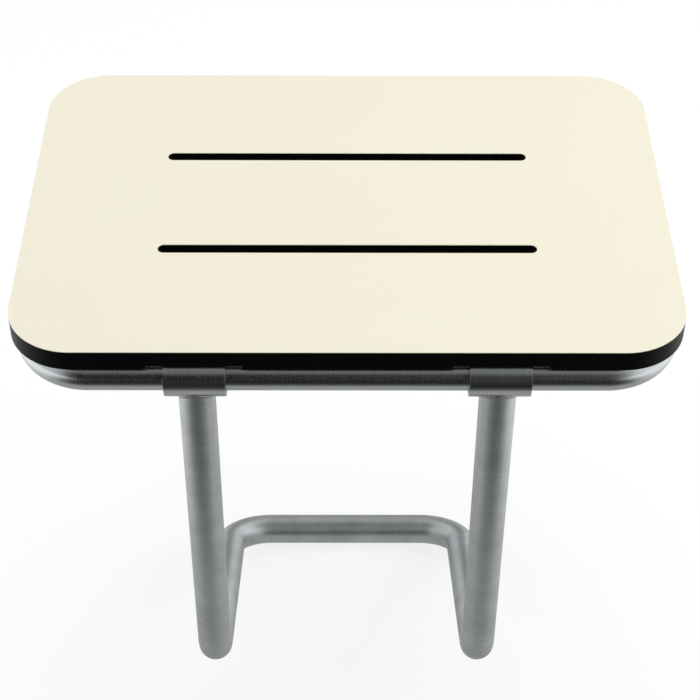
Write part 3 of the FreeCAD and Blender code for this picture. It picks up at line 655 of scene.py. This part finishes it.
# Tube turned in a lathe: rings round the X axis, which blur its highlight along that axis.
sleeve_steel = marked_material(
    "turned_stainless_sleeve",
    [((RING_SPACING, RING_RUN, RING_RUN), 2.0)],
    (STEEL_GREY, STEEL),
    roughness=(0.22, 0.3),
    relief=RING_RELIEF,
    stretched_along=ALONG_X,
    Metallic=1.0,
    Anisotropic=0.75,
)
for side in ("left", "right"):
    eased_part(side + "_sleeve", side + "_leg_sleeve", "leg", sleeve_steel, SLEEVE_EDGE)
    eased_part(side + "_plate", side + "_wall_plate", "wall", plate_steel, PLATE_EDGE)
    eased_part(side + "_cheek", side + "_bracket_ear", "wall", plate_steel, PLATE_EDGE)
eased_part("front_panel_lugs", "front_lugs", "seat", bar_steel, BAR_EDGE)
eased_part("side_panel_lugs", "side_lugs", "seat", bar_steel, BAR_EDGE)
eased_part("pivot_cross_tubes", "pivot_tubes", "seat", bar_steel, THIN_EDGE)
eased_part("leg_studs", "leg_stop_studs", "seat", bar_steel, BAR_EDGE)
eased_part("arm_stop_pins", "stop_pins", "wall", bar_steel, BAR_EDGE)


# Hinge hardware. A low headed M10 bolt runs in from each arm's outer side through the arm's bushes and
# the bracket's cheek; a washer and a nut close it. All are bright cold formed stainless.
HEAD_RADIUS = 7.5 * MM
HEAD_HEIGHT = 2.4 * MM
HEAD_CROWN = 3.2 * MM
HEAD_RIM_SHARE = 0.2
DOME_STEPS = 7
HEAD_SOCKET_FLATS = 5.0 * MM
HEAD_SOCKET_DEPTH = 1.8 * MM
HEX_FLATS = 16.0 * MM
NUT_HEIGHT = 8.4 * MM
NUT_CHAMFER = math.radians(30)
NUT_FACE_SHARE = 0.95
NUT_CONE_STEPS = 5
BOLT_RADIUS = 5.0 * MM
BOLT_RUN_OUT = 3.0 * MM
THREAD_PITCH = 1.5 * MM
THREAD_DEPTH = 0.9 * MM
THREAD_ROWS = 8
POINT_PITCHES = 0.8
POINT_TAPER = 0.15
WASHER_RADIUS = 10.0 * MM
WASHER_EDGE = 0.3 * MM
ROUND_STEPS = 72
HEX_STEPS = 96
DENT = 2.0 * MM
FASTENER_GREY = "#bdbdbb"
FASTENER_BRIGHT = "#d6d6d3"


def turned_solid(rows, centre, axis, steps=ROUND_STEPS, closed=False):
    """A solid on an axis: each point is centre + distance * axis + radius * (cos v first + sin v second).

    A row is (distance, radius), the radius one number or one for each angle. A closed profile ends where
    it starts, and any other runs from axis to axis.
    """
    axis = unit(np.array(axis, float))
    first, second = carried_sides([axis], np.array([axis[1], axis[2], axis[0]]))
    angle = np.linspace(0, 2 * math.pi, steps, endpoint=False)
    spoke = np.cos(angle)[:, None] * first[0] + np.sin(angle)[:, None] * second[0]
    distances = np.array([distance for distance, _ in rows])[:, None, None]
    radii = np.array([np.broadcast_to(radius, steps) for _, radius in rows])[:, :, None]
    points = np.array(centre) + distances * axis + radii * spoke
    return points.reshape(-1, 3), grid_faces(len(rows), steps, closed, True)[1].tolist(), None


def hexagon_radius(flats, steps):
    """The radius of a hexagon at each angle: half its flats over the cosine from the nearest flat."""
    angle = np.linspace(0, 2 * math.pi, steps, endpoint=False)
    return flats / 2 / np.cos((angle + math.pi / 6) % (math.pi / 3) - math.pi / 6)


def chamfered_hexagon(low, high, hole):
    """Rows of a nut between two distances. At each face its corners are cut by a cone that starts inside
    the flats and opens, by the tangent of its angle, until it has left the corners."""
    hexagon = hexagon_radius(HEX_FLATS, HEX_STEPS)
    start = NUT_FACE_SHARE * HEX_FLATS / 2
    opening = hexagon.max() - start
    depth = opening * math.tan(NUT_CHAMFER)
    cone = [
        (depth * share, np.minimum(hexagon, start + opening * share))
        for share in np.linspace(0, 1, NUT_CONE_STEPS)
    ]
    rows = [(high, hole)] + [(high - down, radius) for down, radius in cone]
    rows += [(low + down, radius) for down, radius in cone[::-1]]
    return rows + [(low, hole)]


def button_head(top, seat, crown, radius, flats, depth):
    """Rows of a domed head: its hexagon socket from the bottom up, its crown, and its dome to the rim.

    The dome falls from the crown by the cosine of an angle while it widens by the angle's sine.
    """
    rise = top - seat
    bottom = top - math.copysign(depth, rise)
    socket = hexagon_radius(flats, ROUND_STEPS)
    dome = [
        (
            seat + rise * (HEAD_RIM_SHARE + (1 - HEAD_RIM_SHARE) * math.cos(a)),
            crown + (radius - crown) * math.sin(a),
        )
        for a in np.linspace(0, math.pi / 2, DOME_STEPS)
    ]
    return [(bottom, 0.0), (bottom, socket), (top, socket)] + dome + [(seat, radius)]


def threaded_rows(low, high, radius):
    """Rows of a threaded bar: its radius falls and rises by the thread's depth once in each pitch along
    the bar, the wave moves on by one pitch in each turn, and the bar's end tapers to a blunt point."""
    turn = np.linspace(0, 1, ROUND_STEPS, endpoint=False)
    rows = []
    for at in np.arange(low, high + THREAD_PITCH / 2 / THREAD_ROWS, THREAD_PITCH / THREAD_ROWS):
        wave = np.abs((at / THREAD_PITCH + turn) % 1 * 2 - 1)
        narrowed = 1 - POINT_TAPER * max(0.0, POINT_PITCHES - (high - at) / THREAD_PITCH)
        rows.append((at, (radius - THREAD_DEPTH * wave) * narrowed))
    return rows


# Cold formed and tumbled stainless: brighter than the ground tube, with small soft dents of tone.
fastener_steel = marked_material(
    "bright_cold_formed_stainless",
    [((DENT, DENT, DENT), 3.0)],
    (FASTENER_GREY, FASTENER_BRIGHT),
    roughness=(0.18, 0.34),
    relief=(0.03 * MM, 0.3),
    Metallic=1.0,
)
pivot_low, pivot_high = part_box("hinge_bolts")
pivot_y = (pivot_low.y + pivot_high.y) / 2
cheek_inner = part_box("right_bracket_ear")[0].x
nut_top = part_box("hinge_nuts")[1].x
bolts = []
nuts = []
washers = []
for side in (-1, 1):
    pivot = (0.0, pivot_y, frame_z)
    outward = (side, 0, 0)
    shank_end = nut_top - NUT_HEIGHT - BOLT_RUN_OUT
    seat = pivot_high.x - HEAD_HEIGHT
    head = button_head(pivot_high.x, seat, HEAD_CROWN, HEAD_RADIUS, HEAD_SOCKET_FLATS, HEAD_SOCKET_DEPTH)
    shank = [(seat, BOLT_RADIUS), (nut_top, BOLT_RADIUS)]
    thread = [(-at, radius) for at, radius in threaded_rows(-nut_top, -shank_end, BOLT_RADIUS)]
    bolts.append(turned_solid(head + shank + thread + [(shank_end, 0.0)], pivot, outward))
    nut = chamfered_hexagon(nut_top - NUT_HEIGHT, nut_top, BOLT_RADIUS - THREAD_DEPTH / 2)
    nuts.append(turned_solid(nut, pivot, outward, HEX_STEPS, True))
    washer = [
        (nut_top, BOLT_RADIUS),
        (nut_top, WASHER_RADIUS - WASHER_EDGE),
        (nut_top + WASHER_EDGE, WASHER_RADIUS),
        (cheek_inner - WASHER_EDGE, WASHER_RADIUS),
        (cheek_inner, WASHER_RADIUS - WASHER_EDGE),
        (cheek_inner, BOLT_RADIUS),
    ]
    washers.append(turned_solid(washer, pivot, outward, closed=True))
new_piece("pivot_bolts", bolts, "wall", fastener_steel, ["hinge_bolts"])
new_piece("pivot_nuts", nuts, "wall", fastener_steel, ["hinge_nuts"])
new_piece("pivot_washers", washers, "wall", fastener_steel, ["hinge_washers"])


# Panel screws and inserts. Each lug takes an M5 button head screw with a hexagon socket, driven from
# below into a brass insert pressed in the board.
SCREW_RADIUS = 2.5 * MM
SCREW_HEAD_RADIUS = 4.75 * MM
SCREW_HEAD_HEIGHT = 2.8 * MM
SCREW_CROWN = 3.0 * MM
SOCKET_FLATS = 3.0 * MM
SOCKET_DEPTH = 1.7 * MM
CUT_LENGTH = 11.1 * MM
CUT_SPACING = 2 / 3 * MM
BRASS = "#b08d45"
BRASS_BRIGHT = "#d3b465"


def solid_boxes(node):
    """The lowest and highest corner of each separate solid of a part, sorted."""
    work = bmesh.new()
    work.from_mesh(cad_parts[node].data)
    bmesh.ops.remove_doubles(work, verts=work.verts, dist=MERGED)
    left = set(work.verts)
    boxes = []
    while left:
        edge = [left.pop()]
        island = []
        while edge:
            vertex = edge.pop()
            island.append(vertex.co.copy())
            near = {corner for link in vertex.link_edges for corner in link.verts} & left
            left -= near
            edge += near
        points = np.array(island)
        boxes.append((points.min(0), points.max(0)))
    work.free()
    return sorted(boxes, key=lambda pair: tuple(np.round(pair[0], 5)))


# Turned brass: warm, with rings from the cutter.
brass = marked_material(
    "turned_brass",
    [((CUT_LENGTH, CUT_LENGTH, CUT_SPACING), 2.0)],
    (BRASS, BRASS_BRIGHT),
    roughness=(0.22, 0.38),
    Metallic=1.0,
)
screws = []
for low, high in solid_boxes("lug_screws"):
    centre = ((low[0] + high[0]) / 2, (low[1] + high[1]) / 2, low[2])
    length = high[2] - low[2]
    rows = button_head(
        0.0, SCREW_HEAD_HEIGHT, SCREW_CROWN, SCREW_HEAD_RADIUS, SOCKET_FLATS, SOCKET_DEPTH
    )
    rows += [(SCREW_HEAD_HEIGHT, SCREW_RADIUS), (length, SCREW_RADIUS), (length, 0.0)]
    screws.append(turned_solid(rows, centre, (0, 0, 1)))
new_piece("panel_screws", screws, "seat", fastener_steel, ["lug_screws"])
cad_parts["threaded_inserts"].data.materials[0] = brass


# Bushes, plugs and liners. Moulded black nylon: the arms turn on flanged bushes, their open ends are
# capped by plugs, and thin liners sit in the leg's sleeves.
BUSH_RADIUS = 9.0 * MM
BUSH_FLANGE = 1.2 * MM
BUSH_SPIGOT = 8.0 * MM
BUSH_BORE = 5.05 * MM
BUSH_SPIGOT_RADIUS = 6.1 * MM
PLUG_CAP = 2.0 * MM
PLUG_SPIGOT = 10.0 * MM
PLUG_DISH = 0.6 * MM
PLUG_DISH_RIM = 0.62
PLUG_DISH_FLOOR = 0.55
MOULDED_EDGE = 0.3 * MM
SPARK = 0.455 * MM
NYLON = "#121212"
NYLON_WORN = "#1c1c1d"

# Moulded nylon: near black with a spark eroded texture and a low shine.
nylon = marked_material(
    "black_spark_textured_nylon",
    [((SPARK, SPARK, SPARK), 2.0)],
    (NYLON, NYLON_WORN),
    roughness=(0.36, 0.52),
    relief=(0.05 * MM, 0.4),
    Specular_IOR_Level=0.5,
)
flange_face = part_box("arm_bushes")[1].x - arm_x
bushes = []
plugs = []
for side in (-1, 1):
    for end in (-1, 1):
        profile = [
            (flange_face, BUSH_BORE),
            (flange_face, BUSH_RADIUS - MOULDED_EDGE),
            (flange_face - MOULDED_EDGE, BUSH_RADIUS),
            (flange_face - BUSH_FLANGE, BUSH_RADIUS),
            (flange_face - BUSH_FLANGE, BUSH_SPIGOT_RADIUS),
            (flange_face - BUSH_FLANGE - BUSH_SPIGOT, BUSH_SPIGOT_RADIUS),
            (flange_face - BUSH_FLANGE - BUSH_SPIGOT, BUSH_BORE),
        ]
        bushes.append(turned_solid(profile, (side * arm_x, pivot_y, frame_z), (end, 0, 0), closed=True))
    bore = tube_radius - TUBE_WALL
    cap_edge = [
        (PLUG_CAP / 2 * (1 + math.sin(a)), tube_radius - PLUG_CAP / 2 * (1 - math.cos(a)))
        for a in np.linspace(0, math.pi / 2, DOME_STEPS)
    ]
    profile = [
        (-PLUG_SPIGOT, 0.0),
        (-PLUG_SPIGOT, bore - MOULDED_EDGE),
        (MOULDED_EDGE - PLUG_SPIGOT, bore),
        (0.0, bore),
        (0.0, tube_radius),
        *cap_edge,
        (PLUG_CAP, PLUG_DISH_RIM * tube_radius),
        (PLUG_CAP - PLUG_DISH, PLUG_DISH_FLOOR * tube_radius),
        (PLUG_CAP - PLUG_DISH, 0.0),
    ]
    plugs.append(turned_solid(profile, (side * arm_x, frame_high.y, frame_z), (0, 1, 0)))
new_piece("flanged_bushes", bushes, "seat", nylon, ["arm_bushes"])
new_piece("tube_end_plugs", plugs, "seat", nylon, ["arm_end_plugs"])
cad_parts["sleeve_liners"].data.materials[0] = nylon


# Stop sleeves. Extruded black rubber tube, cut to length and pushed over each stop pin, so that the arms
# come down on it without a knock.
STOP_SLEEVE_EDGE = 0.8 * MM
DIE_LINE_LENGTH = 16.7 * MM
DIE_LINE_SPACING = 0.625 * MM
RUBBER = "#161616"
RUBBER_GREY = "#242424"

# Extruded rubber: matt, dark grey and faintly lined along its length by the die.
rubber = marked_material(
    "black_extruded_rubber",
    [((DIE_LINE_LENGTH, DIE_LINE_SPACING, DIE_LINE_SPACING), 2.0)],
    (RUBBER, RUBBER_GREY),
    roughness=(0.6, 0.82),
    relief=(0.05 * MM, 0.4),
    Specular_IOR_Level=0.3,
)
pads = []
for low, high in solid_boxes("stop_sleeves"):
    centre = (low + high) / 2
    half = (high[0] - low[0]) / 2
    outer = (high[2] - low[2]) / 2
    profile = [
        (-half, BOLT_RADIUS),
        (-half, outer - STOP_SLEEVE_EDGE),
        (STOP_SLEEVE_EDGE - half, outer),
        (half - STOP_SLEEVE_EDGE, outer),
        (half, outer - STOP_SLEEVE_EDGE),
        (half, BOLT_RADIUS),
    ]
    pads.append(turned_solid(profile, centre, (1, 0, 0), closed=True))
new_piece("stop_pads", pads, "wall", rubber, ["stop_sleeves"])


# Welds. Each joint of tube, lug, plate and cheek is TIG welded, which leaves a low bead of overlapping
# ripples with a duller, slightly straw toned surface.
BEAD_RADIUS = 1.5 * MM
RIPPLE_PITCH = 1.3 * MM
RIPPLE_DEPTH = 0.16
BEAD_COLUMNS = 12
BEAD_STEP = 0.25 * MM
BEAD_HINT = (0.31, 0.53, 0.79)
RIPPLE_POWER = 0.6
BEAD_END_POWER = 16
SCALE_SPOT = 1.43 * MM
WELD_GREY = "#8e8b86"
WELD_STRAW = "#b6b2aa"


def weld_bead(line, closed):
    """A bead along a line of points: a circle whose radius rises by |sin|^RIPPLE_POWER in each ripple.

    An open bead rounds off to nothing at its ends, by the square root of 1 - (2 s - 1)^BEAD_END_POWER at
    a share s of its length. The circle starts square to BEAD_HINT, along which no bead runs.
    """
    if closed:
        line = np.concatenate([line, line[:1]])
    lengths = np.concatenate([[0], np.cumsum(np.linalg.norm(np.diff(line, axis=0), axis=1))])
    at = np.linspace(0, lengths[-1], int(lengths[-1] / BEAD_STEP), endpoint=not closed)
    points = np.stack([np.interp(at, lengths, line[:, axis]) for axis in range(3)], 1)
    if closed:
        ways = np.roll(points, -1, 0) - np.roll(points, 1, 0)
    else:
        ways = np.gradient(points, axis=0)
    ways /= np.linalg.norm(ways, axis=1)[:, None]
    hint = np.cross(ways, BEAD_HINT)
    sides = hint / np.linalg.norm(hint, axis=1)[:, None]
    ups = np.cross(ways, sides)
    ripple = np.abs(np.sin(math.pi * at / RIPPLE_PITCH)) ** RIPPLE_POWER
    size = BEAD_RADIUS * (1 - RIPPLE_DEPTH + RIPPLE_DEPTH * ripple)
    if not closed:
        size = size * np.sqrt(np.maximum(0, 1 - (2 * at / lengths[-1] - 1) ** BEAD_END_POWER))
    angle = np.linspace(0, 2 * math.pi, BEAD_COLUMNS, endpoint=False)[None, :, None]
    spokes = np.cos(angle) * sides[:, None] + np.sin(angle) * ups[:, None]
    rings = points[:, None] + size[:, None, None] * spokes
    return rings.reshape(-1, 3), grid_faces(*rings.shape[:2], closed, True)[1].tolist(), None


def cope_line(middle, inward, side, radius, cope_radius, bar_axis):
    """The line where a tube's outer skin meets the round bar that it is coped to."""
    up = np.cross(inward, side)
    angle = np.linspace(0, 2 * math.pi, TUBE_COLUMNS, endpoint=False)[:, None]
    ring = np.array(middle) + radius * (np.cos(angle) * np.array(side) + np.sin(angle) * up)
    return coped(ring, np.array(middle), np.array(inward), cope_radius, bar_axis)


# Pickled TIG weld: greyer and rougher than the ground steel round it.
weld = marked_material(
    "pickled_stainless_weld",
    [((SCALE_SPOT, SCALE_SPOT, SCALE_SPOT), 3.0)],
    (WELD_GREY, WELD_STRAW),
    roughness=(0.32, 0.52),
    relief=(0.05 * MM, 0.4),
    Metallic=1.0,
)
leg_beads = []
seat_beads = []
for side in (-1, 1):
    leg_top = (side * leg_x, front_y, frame_z)
    leg_line = cope_line(leg_top, (0, 0, -1), (0, 1, 0), tube_radius, sleeve_radius, ALONG_X)
    leg_beads.append(weld_bead(leg_line, True))
    cross_end = (side * arm_x, cross_y, frame_z)
    cross_line = cope_line(cross_end, (-side, 0, 0), (0, 0, 1), cross_radius, tube_radius, ALONG_Y)
    seat_beads.append(weld_bead(cross_line, True))
new_piece("leg_welds", leg_beads, "leg", weld)
for node, across, line in (("front_lugs", 1, front_y), ("side_lugs", 0, arm_x)):
    for low, high in solid_boxes(node):
        middle = math.copysign(line, low[across])
        saddle = math.sqrt(tube_radius**2 - (low[2] - frame_z) ** 2)
        for side in (-1, 1):
            offset = np.clip(middle + side * saddle, low[across], high[across]) - middle
            ends = np.array([low, high])
            ends[:, across] = middle + offset
            ends[:, 2] = frame_z + math.sqrt(tube_radius**2 - offset**2)
            seat_beads.append(weld_bead(ends, False))
new_piece("frame_welds", seat_beads, "seat", weld)
wall_beads = []
plate_low, plate_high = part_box("left_wall_plate")
for node in ("left_bracket_ear", "right_bracket_ear"):
    for low, high in solid_boxes(node):
        for x in (low[0], high[0]):
            heights = (plate_low.z + BEAD_RADIUS, plate_high.z - BEAD_RADIUS)
            line = np.array([(x, plate_low.y, height) for height in heights])
            wall_beads.append(weld_bead(line, False))
new_piece("bracket_welds", wall_beads, "wall", weld)
